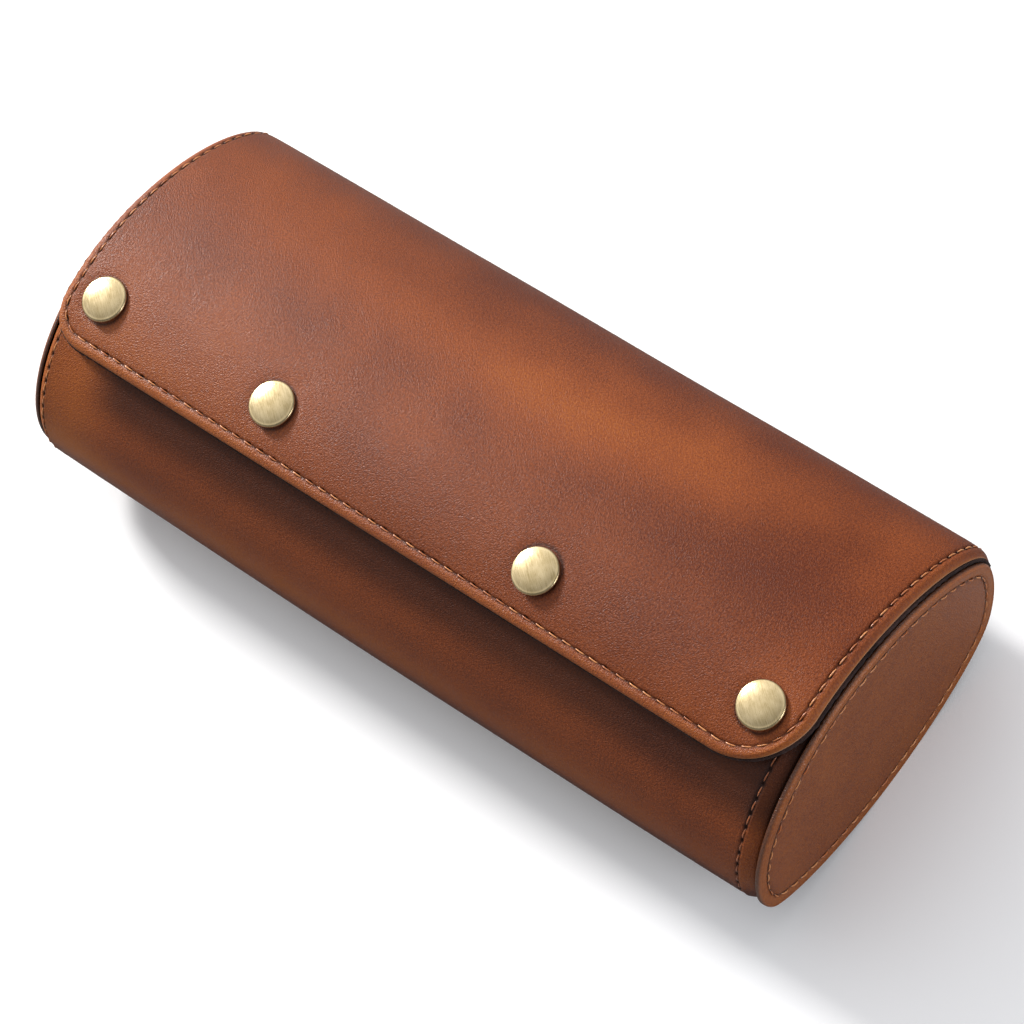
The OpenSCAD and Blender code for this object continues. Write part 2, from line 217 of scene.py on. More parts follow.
def inward(x, off):
    """Offset of one of the wall's faces at x: the wall's ends are drawn in, and thinner there."""
    left = np.asarray(x) < 0
    t = np.clip((np.abs(x) - WRAP_END) / np.where(left, LEFT_DRAW_W, END_DRAW_W) + 1, 0, 1)
    return off - t * np.where(left, LEFT_DRAW, END_DRAW) * (1 + off / WALL_T)


def droop(x):
    """How far the flap's outer face bends down towards its side edges."""
    return DROOP * np.clip(1 - (FLAP_HALF - np.abs(x)) / DROOP_W, 0, 1) ** 1.5


def lining_sink(x, s):
    """How far the flap's lining bends down with it, resting on the body and on the end panel's rim."""
    gap = flap_gap(np.interp(s, table_s, table_a))
    places = [DRAW_X, WRAP_END - 0.6 * MM, PANEL_IN - 0.1 * MM]
    sides = (-LEFT_DRAW * 0.75, -END_DRAW * 0.8)
    sides = [np.interp(np.abs(x), places, [0.06 * MM, drawn, 0.02 * MM]) for drawn in sides]
    rest_at = np.where(x < 0, *sides)
    return gap - np.maximum(gap - 0.9 * droop(x), np.minimum(rest_at, gap))


def flap_inside(x, s, half, end, corner):
    """Distance inside an outline with straight sides, a front edge at end and rounded front corners."""
    qx, qs = np.abs(x) - (half - corner), s - (end - corner)
    out = np.hypot(np.maximum(qx, 0), np.maximum(qs, 0))
    return corner - out - np.minimum(np.maximum(qx, qs), 0)


# --- Meshes ---


def mesh_object(name, verts, quads, tris=(), attributes=None):
    mesh = bpy.data.meshes.new(name)
    verts = np.asarray(verts, np.float32).reshape(-1, 3)
    quads = np.asarray(quads, np.int32).reshape(-1, 4)
    tris = np.asarray(tris, np.int32).reshape(-1, 3)
    mesh.vertices.add(len(verts))
    mesh.vertices.foreach_set("co", verts.ravel())
    corners = np.concatenate([quads.ravel(), tris.ravel()])
    mesh.loops.add(len(corners))
    mesh.loops.foreach_set("vertex_index", corners)
    starts = np.concatenate([np.arange(len(quads)) * 4, quads.size + np.arange(len(tris)) * 3])
    mesh.polygons.add(len(starts))
    mesh.polygons.foreach_set("loop_start", starts.astype(np.int32))
    mesh.update(calc_edges=True)
    mesh.polygons.foreach_set("use_smooth", np.ones(len(starts), bool))
    for key, values in (attributes or {}).items():
        values = np.asarray(values, np.float32)
        kind = "FLOAT_VECTOR" if values.ndim == 2 else "FLOAT"
        data = mesh.attributes.new(key, kind, "POINT").data
        data.foreach_set("vector" if values.ndim == 2 else "value", values.ravel())
    mesh.update()
    piece = bpy.data.objects.new(name, mesh)
    scene.collection.objects.link(piece)
    return piece


def slab(name, outer, inner, keep=None, wrap=False, attributes=None):
    """Closed slab between two grids of points (rows, columns, 3). keep says which cells are there, and wrap
    joins the last row to the first. attributes are grids of values, the same on both faces."""
    rows, cols = outer.shape[:2]
    cell_rows = rows if wrap else rows - 1
    if keep is None:
        keep = np.ones((cell_rows, cols - 1), bool)
    index = np.arange(rows * cols).reshape(rows, cols)
    a, b = index[:cell_rows, :-1], np.roll(index, -1, 0)[:cell_rows, :-1]
    c, d = b + 1, a + 1
    count = index.size
    quads = [np.stack([a, d, c, b], -1)[keep], np.stack([a, b, c, d], -1)[keep] + count]

    def walls(mask, p, q):
        p, q = p[mask], q[mask]
        quads.append(np.stack([p, q, q + count, p + count], -1))

    none_row, none_col = np.zeros((1, cols - 1), bool), np.zeros((cell_rows, 1), bool)
    before = np.roll(keep, 1, 0) if wrap else np.vstack([none_row, keep[:-1]])
    after = np.roll(keep, -1, 0) if wrap else np.vstack([keep[1:], none_row])
    walls(keep & ~before, d, a)
    walls(keep & ~after, b, c)
    walls(keep & ~np.hstack([none_col, keep[:, :-1]]), a, b)
    walls(keep & ~np.hstack([keep[:, 1:], none_col]), c, d)
    verts = np.concatenate([outer.reshape(-1, 3), inner.reshape(-1, 3)])
    used, quads = np.unique(np.concatenate(quads), return_inverse=True)
    both = {}
    for key, grid in (attributes or {}).items():
        flat = grid.reshape(count, -1)
        flat = np.concatenate([flat, flat])[used]
        both[key] = flat if grid.ndim == 3 else flat[:, 0]
    return mesh_object(name, verts[used], quads, attributes=both)


def ring_faces(rings, around):
    """Quads between rings of points, and the fans that close both ends round the last two points."""
    index = np.arange(rings * around).reshape(rings, around)
    after = np.roll(index, -1, 1)
    quads = np.stack([index[:-1], index[1:], after[1:], after[:-1]], -1).reshape(-1, 4)
    first, last = np.full(around, index.size), np.full(around, index.size + 1)
    fans = [np.stack([first, index[0], after[0]], -1), np.stack([last, after[-1], index[-1]], -1)]
    return quads, np.concatenate(fans)


def bunched(edge):
    """Steps from an edge that round it to the radius edge."""
    return edge * (1 - np.cos(np.radians(np.arange(0, 91, 15))))


def thinned(places):
    """Sorted places without those that crowd the one before."""
    return places[np.concatenate([[True], np.diff(places) > 0.02 * MM])]


def spaced(low, high, step, near=(), edge=EDGE_R, fine=0.3 * MM):
    """Places from low to high: a step apart, finer around near, and bunched at both ends to round them."""
    even = np.linspace(low + edge, high - edge, max(2, round((high - low - 2 * edge) / step)))
    close = [np.arange(place - NEAR_W, place + NEAR_W, fine) for place in near]
    places = np.concatenate([low + bunched(edge), high - bunched(edge), even, *close])
    places = np.unique(np.round(places, 6))
    return thinned(places[(places >= low - 1e-9) & (places <= high + 1e-9)])


def rounded(d, r):
    """How far a face drops at the distance d from an edge rounded to r."""
    return r - np.sqrt(np.maximum(r * r - np.clip(r - d, 0, r) ** 2, 0))


def sampled(values, length, places):
    """Rows of values that are given at length, in between at places."""
    return np.stack([np.interp(places, length, values[:, i]) for i in range(values.shape[1])], -1)


def points_along(path, places):
    return sampled(path, seam_path(path), places)


def unit(vectors):
    return vectors / np.linalg.norm(vectors, axis=-1, keepdims=True)


def hole_places(length):
    count = round(length / STITCH_PITCH)
    return np.arange(count + 1) * length / count


def waves(u, v, seed, size):
    """Sum of soft waves about size long, between -1 and 1 or so."""
    count = 7
    random = np.random.default_rng(seed)
    total = np.zeros(np.broadcast(u, v).shape)
    for _ in range(count):
        turn, phase, scale = random.uniform(0, math.tau, 2).tolist() + [random.uniform(0.7, 1.5)]
        k = math.tau / (size * scale)
        total += np.sin(k * (u * math.cos(turn) + v * math.sin(turn)) + phase)
    return total / count * 1.6


def stitches(name, points, normals, sink=0.0):
    """A row of lockstitches along a seam: each is a twisted thread that dives into both its holes."""
    rings, sides, plies, turns = 13, 10, 3, 2.2
    length = seam_path(points)
    holes = hole_places(length[-1])
    start, span = holes[:-1], np.diff(holes)
    random = np.random.default_rng(len(start))
    u = np.linspace(0, 1, rings)
    gap = 0.42 * STITCH_HOLE
    at = start[:, None] + gap + u[None] * (span[:, None] - 2 * gap)
    middle, up = sampled(points, length, at), unit(sampled(normals, length, at))
    side = np.cross(unit(np.gradient(middle, axis=1)), up)
    bow = np.sin(np.pi * u) ** 0.45
    jitter = random.normal(0, 0.05 * MM, (len(start), 1, 1))
    height = -VALLEY_DEPTH - sink - THREAD_DIP + (THREAD_RISE + jitter[..., 0]) * bow
    lean = (THREAD_LEAN * (2 * u - 1))[None, :, None]
    middle = middle + up * height[..., None] + side * lean + side * jitter
    taper = 0.55 + 0.45 * np.sin(np.pi * u) ** 0.5
    turn = np.arange(sides) * math.tau / sides
    ply = 1 + 0.13 * np.cos(plies * (turn[None] - turns * math.tau / plies * u[:, None]))
    radius = THREAD_R * taper[:, None] * ply
    ring = side[:, :, None] * (radius * np.cos(turn))[None, ..., None]
    ring = ring + up[:, :, None] * (radius * np.sin(turn))[None, ..., None]
    verts = middle[:, :, None] + ring
    index = np.arange(verts[..., 0].size).reshape(verts.shape[:3])
    a, b = index[:, :-1], index[:, 1:]
    quads = np.stack([a, np.roll(a, -1, 2), np.roll(b, -1, 2), b], -1)
    caps = [
        index[:, end][:, [0, k + 1, k][::order]]
        for end, order in ((0, 1), (-1, -1)) for k in range(1, sides - 1)
    ]
    along = np.broadcast_to(u[None, :, None], verts.shape[:3]).ravel()
    shade = np.broadcast_to(random.uniform(-1, 1, (len(start), 1, 1)), verts.shape[:3]).ravel()
    return mesh_object(name, verts, quads, np.concatenate(caps), {"along": along, "shade": shade})


def lathe(profile, turns):
    """Closed surface of (radius, height) rings, with a point on the axis closing each end."""
    angle = np.arange(turns) * math.tau / turns
    rings = [(r * math.cos(a), r * math.sin(a), h) for r, h in profile for a in angle]
    quads, tris = ring_faces(len(profile), turns)
    poles = [(0, 0, profile[0][1]), (0, 0, profile[-1][1])]
    return np.array(rings + poles), np.roll(quads[:, ::-1], 1, 1), tris[:, ::-1]


# --- Shader nodes ---


class Shader:
    """Short names for the nodes of a material or a world."""

    def __init__(self, owner, surface="Principled BSDF"):
        owner.use_nodes = True
        self.owner = owner
        self.tree = owner.node_tree
        self.surface = self.tree.nodes[surface]

    def link(self, value, socket):
        if isinstance(value, bpy.types.NodeSocket):
            self.tree.links.new(value, socket)
        else:
            socket.default_value = value

    def set(self, **sockets):
        for key, value in sockets.items():
            self.link(value, self.surface.inputs[key.replace("_", " ")])

    def node(self, kind, sockets, output=0, **settings):
        """Adds a node with its sockets, by name or number, linked or set, and gives one of its outputs."""
        n = self.tree.nodes.new(f"ShaderNode{kind}")
        for key, value in settings.items():
            setattr(n, key, value)
        for key, value in sockets.items():
            self.link(value, n.inputs[key])
        return n.outputs[output]

    def attribute(self, name, output="Fac"):
        return self.node("Attribute", {}, output, attribute_name=name)

    def mapping(self, vector, scale=(1, 1, 1), rotation=(0, 0, 0)):
        return self.node("Mapping", {"Vector": vector, "Scale": scale, "Rotation": rotation})

    def noise(self, vector, size, detail=3.0, rough=0.5, warp=0.0):
        sockets = {"Vector": vector, "Scale": 1 / size, "Detail": detail, "Roughness": rough}
        return self.node("TexNoise", {**sockets, "Distortion": warp}, "Fac")

    def cells(self, vector, size):
        sockets = {"Vector": vector, "Scale": 1 / size}
        return self.node("TexVoronoi", sockets, "Distance", feature="DISTANCE_TO_EDGE")

    def math(self, kind, a, b=0.0, c=0.0):
        return self.node("Math", {0: a, 1: b, 2: c}, operation=kind)

    def add(self, value, *more):
        for other in more:
            value = self.math("ADD", value, other)
        return value

    def remap(self, value, low, high, to_low=0.0, to_high=1.0):
        sockets = {"Value": value, "From Min": low, "From Max": high, "To Min": to_low, "To Max": to_high}
        return self.node("MapRange", sockets)

    def stretch(self, noise, low, high):
        """Noise, which lies between about 0.3 and 0.7, spread from low to high."""
        return self.remap(noise, 0.3, 0.7, low, high)

    def mix(self, amount, a, b):
        a, b = (v if isinstance(v, bpy.types.NodeSocket) else (*v, 1) for v in (a, b))
        return self.node("Mix", {0: amount, 6: a, 7: b}, 2, data_type="RGBA")

    def bump(self, height, distance, strength=1.0):
        return self.node("Bump", {"Strength": strength, "Distance": distance, "Height": height})

    def object_place(self):
        return self.node("TexCoord", {}, "Object")


def new_material(name):
    return Shader(bpy.data.materials.new(name))


LEATHER_DARK = (0.112, 0.024, 0.009)
LEATHER_BASE = (0.258, 0.063, 0.017)
LEATHER_LIGHT = (0.408, 0.116, 0.020)
# Painted highlight: the pale line along cut edges, where the tone runs past 1.5
EDGE_HIGHLIGHT = (0.56, 0.27, 0.14)
# Near-black of burnished seams and of painted shade: the shadow under the flap, round the caps and in the
# needle holes
BURNISH_AND_SHADE = (0.018, 0.005, 0.003)


def leather_material(name, tint, gloss=0.40, shine=None):
    """Oiled pull-up leather: clouds of tone, burnished seams with painted shade, a painted highlight on cut
    edges, fine pores and a satin skin. Without a number, how much it shines comes from the piece."""
    m = new_material(name)
    rest = m.attribute("rest", "Vector")
    tone = m.attribute("tone")
    cloud = m.noise(rest, 42 * MM, 3, 0.55, 0.4)
    mottle = m.noise(rest, 9 * MM, 4, 0.6)
    speck = m.noise(rest, 0.62 * MM, 3, 0.65)
    depth = m.add(m.stretch(cloud, -0.14, 0.14), m.stretch(mottle, -0.08, 0.08))
    depth = m.add(depth, m.stretch(speck, -0.50, 0.50), tone, tint)
    colour = m.mix(m.remap(depth, -0.9, 0.0), LEATHER_DARK, LEATHER_BASE)
    colour = m.mix(m.remap(depth, 0.0, 0.9), colour, LEATHER_LIGHT)
    # Tone past 1.5 paints a highlight line along cut edges
    colour = m.mix(m.remap(tone, 1.5, 2.2), colour, EDGE_HIGHLIGHT)
    # Burnished seams and painted shade darken the colour towards near-black
    colour = m.mix(m.attribute("burnish_and_shade"), colour, BURNISH_AND_SHADE)
    pores = m.remap(m.cells(rest, 0.60 * MM), 0.0, 0.25, 0, 0.5)
    grain = m.noise(rest, 0.42 * MM, 2, 0.6)
    creases = m.noise(m.mapping(rest, (1, 2.6, 1), (0, 0, 0.6)), 2.2 * MM, 3, 0.6)
    height = m.add(pores, m.math("MULTIPLY", grain, 1.2), m.math("MULTIPLY", creases, 0.28))
    rough = m.add(m.stretch(mottle, gloss - 0.05, gloss + 0.07), m.stretch(speck, -0.05, 0.05))
    if shine is None:
        shine = m.remap(m.attribute("shine"), 0.0, 1.0, 0.10, 0.36)
    m.set(Base_Color=colour, Roughness=rough, Normal=m.bump(height, 0.12 * MM),
          Specular_IOR_Level=shine)
    return m.owner


def suede_material(name, dark, light, nap=0.5 * MM, sheen=0.35):
    """Brushed suede: short fibres in drifts, with a soft sheen."""
    m = new_material(name)
    rest = m.attribute("rest", "Vector")
    drift = m.noise(rest, 12 * MM, 4, 0.6, 0.8)
    fibre = m.noise(m.mapping(rest, (1, 0.45, 1), (0, 0, 0.5)), nap, 4, 0.7)
    tone = m.add(m.stretch(drift, 0.0, 0.6), m.remap(fibre, 0.35, 0.7, 0.0, 0.55))
    m.set(Base_Color=m.mix(tone, dark, light), Roughness=0.92, Normal=m.bump(fibre, 0.12 * MM, 0.9),
          Sheen_Weight=sheen, Sheen_Roughness=0.5, Specular_IOR_Level=0.2)
    return m.owner


def thread_material(name, dull, bright):
    """Waxed sewing thread, with painted shade where it enters its holes."""
    m = new_material(name)
    along = m.attribute("along")
    crown = m.remap(m.math("ABSOLUTE", m.math("SUBTRACT", along, 0.5)), 0.32, 0.48, 1.0, 0.0)
    lit = m.mix(m.remap(m.attribute("shade"), -1, 1), dull, bright)
    # Near-black ends: painted shade where the thread enters its holes
    colour = m.mix(crown, (0.020, 0.006, 0.003), lit)
    m.set(Base_Color=colour, Roughness=0.32, Sheen_Weight=0.1, Specular_IOR_Level=0.7)
    return m.owner


def brass_material(name, brushed=True):
    """Pale brass, brushed in one direction, with a darker patina in its fine scratches."""
    m = new_material(name)
    place = m.object_place()
    turned = m.mapping(place, rotation=(0, 0, -0.88))
    streak = m.noise(m.mapping(turned, (1, 0.06, 0.06)), 0.16 * MM, 3, 0.7)
    patch = m.noise(place, 3 * MM, 3, 0.5)
    tone = m.add(m.stretch(streak, 0.0, 0.55), m.stretch(patch, 0.0, 0.45))
    colour = m.mix(tone, (0.37, 0.275, 0.125), (0.72, 0.58, 0.35))
    m.set(Base_Color=colour, Metallic=1.0, Roughness=m.stretch(streak, 0.24, 0.36))
    if brushed:
        m.set(Normal=m.bump(streak, 0.02 * MM, 0.6))
    return m.owner


def board_material():
    """Grey-brown fibre board with fine flecks."""
    m = new_material("fibre_board")
    fleck = m.noise(m.object_place(), 0.8 * MM, 4, 0.7)
    m.set(Base_Color=m.mix(fleck, (0.30, 0.25, 0.19), (0.52, 0.46, 0.37)), Roughness=0.85,
          Normal=m.bump(fleck, 0.05 * MM))
    return m.owner


flap_leather = leather_material("cognac_flap_leather", tint=-0.07)
# The body's leather is darker than the flap's: partly its own tone, partly painted shade on its front, which
# faces away from the light
body_leather_tone_and_shade = leather_material("cognac_body_leather", tint=-0.34, gloss=0.44, shine=0.22)
# A lighter copy of the cognac leather: painted light on the end panels
end_leather_painted_light = leather_material("cognac_end_leather", tint=0.42, gloss=0.37, shine=0.68)
collar_leather = leather_material("dark_collar_leather", tint=-0.75, gloss=0.55, shine=0.22)
dark_suede = suede_material("dark_suede", (0.002, 0.0015, 0.0015), (0.072, 0.041, 0.037), 0.45 * MM, 0.03)
lining_suede = suede_material("lining_suede", (0.060, 0.032, 0.020), (0.150, 0.085, 0.055))
microfibre = suede_material("cushion_microfibre", (0.36, 0.28, 0.20), (0.58, 0.48, 0.36), 0.35 * MM)
thread = thread_material("waxed_thread", (0.40, 0.100, 0.020), (0.72, 0.290, 0.095))
# A darker copy of the waxed thread: painted shade for the right body seam
painted_shade_thread = thread_material("shaded_thread", (0.25, 0.058, 0.013), (0.42, 0.130, 0.045))
# A lighter copy of the waxed thread: painted light on the end panels' seams
painted_light_end_thread = thread_material("end_thread", (0.54, 0.150, 0.035), (0.86, 0.380, 0.140))
brass = brass_material("brushed_brass")
plain_brass = brass_material("plain_brass", brushed=False)


def finish_piece(piece, material, body, slot, *nodes):
    piece.data.materials.append(material)
    if body:
        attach(piece, body)
    if nodes:
        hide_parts(*nodes)
    return piece


def flat_rest(x, s):
    """Flat coordinates that the materials are laid out in."""
    return np.stack([*np.broadcast_arrays(x, s), np.zeros(np.broadcast(x, s).shape)], -1)


# --- Flap ---

SEAM_HALF = FLAP_HALF - FLAP_SEAM_INSET
SEAM_END = FLAP_S - FRONT_SEAM_INSET
SEAM_START = FLAP_SEAM_INSET

# Pull-up marks of the oiled hide: (x, s, length along x, length along s, turn, strength), in mm and degrees
TONE_MARKS = (
    (26, 59, 54, 12, -4, 0.44),
    (0, 74, 130, 13, 0, -0.40),
    (92, 62, 26, 16, 0, -0.62),
    (0, 32, 130, 12, 0, -0.38),
    (-20, 46, 44, 10, 2, -0.30),
    (-100, 70, 20, 16, 0, -0.35),
    (-70, 86, 50, 9, 0, 0.10),
    (66, 96, 36, 13, 0, -0.50),
    (-22, 97, 26, 12, 0, -0.35),
    (-96, 108, 26, 8, 0, 0.35),
    (10, 108, 20, 9, 0, -0.30),
    (104, 98, 14, 14, 0, 0.25),
    # Painted shade: this broad mark darkens the right half, where the fill light falls
    (84, 72, 34, 30, 0, -0.20),
)


def flap_tone(x, s):
    tone = 0.12 * waves(x, s, 5, 34 * MM)
    for cx, cs, length, width, turn, strength in TONE_MARKS:
        c, n = math.cos(math.radians(turn)), math.sin(math.radians(turn))
        dx, ds = x - cx * MM, s - cs * MM
        far = np.hypot((dx * c + ds * n) / (length * MM), (ds * c - dx * n) / (width * MM))
        tone = tone + strength * bell(far, 1)
    return tone


def flap_seam():
    """Flat path of the flap's seam: up one side, round the front and down the other side."""
    quarter = np.radians(np.arange(0, 91, 6))
    turn = np.stack([np.cos(quarter), np.sin(quarter)], -1) - 1
    right, left = (turn * r + [SEAM_HALF, SEAM_END] for r in (RIGHT_SEAM_CORNER_R, LEFT_SEAM_CORNER_R))
    left = left[::-1] * [-1, 1]
    return np.vstack([[[SEAM_HALF, SEAM_START]], right, left, [[-SEAM_HALF, SEAM_START]]])


def dense_path(points):
    length = seam_path(points)[-1]
    return points_along(points, np.linspace(0, length, int(length / (0.4 * MM))))


def dimples(x, s, places):
    """Needle holes pressed into a grid of flat coordinates; places is a list of (x, s)."""
    sink = np.zeros(np.broadcast(x, s).shape)
    reach = np.array([-3, 3]) * HOLE_R
    for px, ps in places:
        rows = slice(*np.searchsorted(s[:, 0], ps + reach))
        cols = slice(*np.searchsorted(x[0], px + reach))
        near = ((x[rows, cols] - px) ** 2 + (s[rows, cols] - ps) ** 2) / HOLE_R ** 2
        sink[rows, cols] += HOLE_DEPTH * np.exp(-near)
    return np.minimum(sink, HOLE_DEPTH * 1.2)


def needle_holes(path):
    return points_along(path, hole_places(seam_path(path)[-1]))


seam_flat = dense_path(flap_seam())
bottom_flat = dense_path(np.array([[-SEAM_HALF, SEAM_START], [SEAM_HALF, SEAM_START]]))


def flap_grid(half, start, end, more_corner, step, near_s, near_x, edge):
    """Grid of flat coordinates whose sides are squeezed in round the front corners, with each point's
    distance inside the outline. The right corner is cut rounder than the left one."""
    corners = np.array([LEFT_CORNER_R, RIGHT_CORNER_R]) + more_corner
    corner_rows = (end - corners[:, None] * (1 - np.sin(np.radians(np.arange(0, 91, 4))))).ravel()
    rows = np.union1d(spaced(start, end, step, near_s, edge), np.round(corner_rows, 6))
    x, s = np.meshgrid(spaced(-half, half, step, near_x, edge), thinned(rows))
    corner = np.where(x < 0, corners[0], corners[1])
    past = np.maximum(s - (end - corner), 0)
    reach = half - corner + np.sqrt(np.maximum(corner ** 2 - past ** 2, 0))
    side = (half - np.abs(x)) / (22 * MM)
    x = np.sign(x) * (np.abs(x) - np.maximum(half - reach, 0) * np.clip(1 - side, 0, 1))
    return x, s, flap_inside(x, s, half, end, corner)


def flap_hide():
    near_s, near_x = (SEAM_START, SEAM_END), (-SEAM_HALF, SEAM_HALF)
    x, s, d = flap_grid(FLAP_HALF, 0, FLAP_S, 0, GRID, near_s, near_x, EDGE_R)
    d = np.minimum(d, s)
    corner = np.where(x < 0, LEFT_SEAM_CORNER_R, RIGHT_SEAM_CORNER_R)
    seam = np.minimum(flap_inside(x, s, SEAM_HALF, SEAM_END, corner), s - SEAM_START)
    valley = VALLEY_DEPTH * bell(seam, VALLEY_W)
    slope_in = 0.16 * MM * fade(seam, 2.2 * MM)
    puff = 0.20 * MM * bell(seam + 1.5 * MM, 0.9 * MM)
    height = -valley - slope_in + puff - rounded(d, FLAP_EDGE_R) - droop(x)
    height += 0.10 * MM * waves(x, s, 3, 60 * MM)
    pressed = dimples(x, s, np.vstack([needle_holes(seam_flat), needle_holes(bottom_flat)]))
    height -= pressed
    # Painted contact shadow: a thin dark ring round each cap
    cap_shadow = np.zeros(x.shape)
    for cx in SNAP_XS:
        ring = np.hypot(x - cx, s - SNAP_S) - CAP_D / 2
        height -= 0.22 * MM * bell(ring, 1.6 * MM)
        cap_shadow = np.maximum(cap_shadow, 0.85 * bell(ring, 0.45 * MM))
    inner = -FLAP_LEATHER_T - lining_sink(x, s) + rounded(d, 0.25 * MM)
    height = np.maximum(height, inner + 0.3 * MM)
    # The seam line is burnished; the needle holes are painted shade
    burnish_and_shade = 0.5 * bell(seam, 0.40 * MM) + 1.2 * pressed / HOLE_DEPTH
    burnish_and_shade += 0.22 * fade(seam, 1.4 * MM)
    burnish_and_shade = np.maximum(burnish_and_shade, cap_shadow)
    # Darker towards the back: partly the hide's tone, partly painted shade where the flap turns away from
    # the light
    tone = flap_tone(x, s) - 0.70 * smooth((HINGE_S + 22 * MM - s) / (26 * MM))
    # Painted sheen: the border between seam and edge is made lighter on its bulge
    border = smooth(-seam / (1.2 * MM))
    # The two edge terms paint a highlight line along the cut edge
    tone += 0.36 * border + 0.7 * bell(d, 0.3 * MM) + 1.8 * bell(d, 0.09 * MM)
    shine = 0.42 - 0.42 * x / FLAP_HALF + 0.25 * smooth((s - 80 * MM) / (24 * MM))
    shine = np.clip(shine + 0.35 * border + 0.9 * bell(d, 0.35 * MM), 0, 1)
    burnish_and_shade = np.clip(burnish_and_shade, 0, 0.97)
    attributes = {"rest": flat_rest(x, s), "tone": tone, "burnish_and_shade": burnish_and_shade, "shine": shine}
    return slab("flap_hide", flap_point(x, s, height), flap_point(x, s, inner), attributes=attributes)


def flap_suede():
    half, end = FLAP_HALF + LINING_REVEAL, FLAP_S + LINING_REVEAL
    near_x = (-FLAP_HALF, FLAP_HALF)
    x, s, d = flap_grid(half, HINGE_S - 9 * MM, end, LINING_REVEAL, 0.9 * MM, (), near_x, 0.35 * MM)
    edge = np.exp(-d / (0.5 * MM))
    x = x + np.sign(x) * 0.22 * MM * edge * waves(x, s, 19, 1.3 * MM)
    s = s + 0.20 * MM * edge * waves(x, s, 23, 1.4 * MM) * (s > SEAM_END)
    ragged = 0.12 * MM * edge * waves(x, s, 9, 1.1 * MM)
    sink = lining_sink(x, s)
    top = -FLAP_LEATHER_T - sink - rounded(d, 0.3 * MM) + ragged
    low = -FLAP_T - sink + rounded(d, 0.3 * MM)
    for cx in SNAP_XS:
        ring = np.hypot(x - cx, s - SNAP_S) - 4.8 * MM
        low += 0.12 * MM * bell(ring, 1.0 * MM)
    faces = flap_point(x, s, top), flap_point(x, s, low)
    return slab("flap_suede", *faces, attributes={"rest": flat_rest(x, s)})


def flap_seam_threads():
    path = np.vstack([seam_flat[::-1][:-1], [[SEAM_HALF, SEAM_START]]])

    def sewn(name, flat, h):
        lifted, surface, place = (flap_point(*flat.T, height) for height in (1 * MM, 0, h))
        return stitches(name, place, lifted - surface)

    return sewn("flap_thread", path, -droop(path[:, 0])), sewn("anchor_thread", bottom_flat, 0)


def hinge_blend(piece):
    """Bakes the piece's placement into its mesh."""
    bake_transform(piece)


hide = finish_piece(flap_hide(), flap_leather, None, "leather", "flap_leather", "flap_anchor")
suede = finish_piece(flap_suede(), dark_suede, None, "suede", "flap_lining")
flap_thread, anchor_thread = flap_seam_threads()
finish_piece(flap_thread, thread, None, "leather")
finish_piece(anchor_thread, thread, "case", "leather")
for piece in (hide, suede, flap_thread):
    hinge_blend(piece)


def anchor_padding():
    """Fills the step between the body and the anchored leather."""
    rows = np.linspace(ANCHOR_ANGLE + 0.6, HINGE_ANGLE, 40)
    cols = np.linspace(-FLAP_HALF + 0.4 * MM, FLAP_HALF - 0.4 * MM, 60)
    x, a = np.meshgrid(cols, rows)
    top = wall_point(x, a, GAP_BACK + FLAP_LINING_T - lining_sink(x, np.zeros(x.shape)))
    low = wall_point(x, a, inward(x, 0.0))
    return slab("anchor_padding", top, low, attributes={"rest": flat_rest(x, a * MM)})


finish_piece(anchor_padding(), dark_suede, "case", "suede")

# --- Body ---

SIDES = ((-1, "left"), (1, "right"))
BODY_SEAMS = {-1: LEFT_SEAM_INSET - WRAP_END, 1: WRAP_END - RIGHT_SEAM_INSET}


def ring_angles(step):
    """Angles round the whole oval about step apart, starting at the fold, with the lip among them."""
    fine = np.arange(HINGE_ANGLE, HINGE_ANGLE + 360, 0.05)
    length = seam_path(oval(fine))
    even = np.interp(np.arange(0, length[-1] - step / 2, step), length, fine)
    back = bunched(EDGE_R)
    lip = LIP_ANGLE + np.degrees(back / radius_at(LIP_ANGLE))
    fold = HINGE_ANGLE + 360 - np.degrees(back[1:] / 0.02)
    return np.unique(np.round(np.concatenate([even, lip, fold]), 4))


def ring_length(degrees):
    fine = np.arange(HINGE_ANGLE, HINGE_ANGLE + 361, 0.1)
    return np.interp(degrees, fine, seam_path(oval(fine)))


def mouth_distance(x, a):
    """Distance from the mouth's edge, in the wall; below zero inside the mouth."""
    lip = ring_length(np.full(1, LIP_ANGLE))[0]
    total = ring_length(np.full(1, HINGE_ANGLE + 360))[0]
    s = ring_length(a)
    along = np.where(s <= lip, -np.minimum(s, lip - s), np.minimum(s - lip, total - s))
    across = np.abs(x) - MOUTH_HALF
    return np.where((along > 0) & (across > 0), np.hypot(along, across), np.maximum(along, across))


def open_wall(name, outer_off, inner_off, end, step_x, step_a, shape, near=()):
    """Part of the wall: a ring with the mouth cut out. shape(x, a, d) gives how both faces change."""
    near = near + (-MOUTH_HALF, MOUTH_HALF, LEFT_DRAW_W - WRAP_END, DRAW_X)
    cols = spaced(-end, end, step_x, near, fine=0.35 * MM)
    cols = np.unique(np.concatenate([cols, [-MOUTH_HALF, MOUTH_HALF]]))
    rows = ring_angles(step_a)
    x, a = np.meshgrid(cols, rows)
    d = mouth_distance(x, a)
    up, down, attributes = shape(x, a, d)
    next_rows = np.append(rows[1:], rows[0] + 360)
    middle_x, middle_a = np.meshgrid((cols[:-1] + cols[1:]) / 2, (rows + next_rows) / 2)
    keep = ~((np.abs(middle_x) < MOUTH_HALF) & (middle_a < LIP_ANGLE))
    outer = wall_point(x, a, inward(x, outer_off) + up)
    inner = wall_point(x, a, inward(x, inner_off) + down)
    outer[..., 2] = np.maximum(outer[..., 2], 0)
    return slab(name, outer, inner, keep, True, attributes)


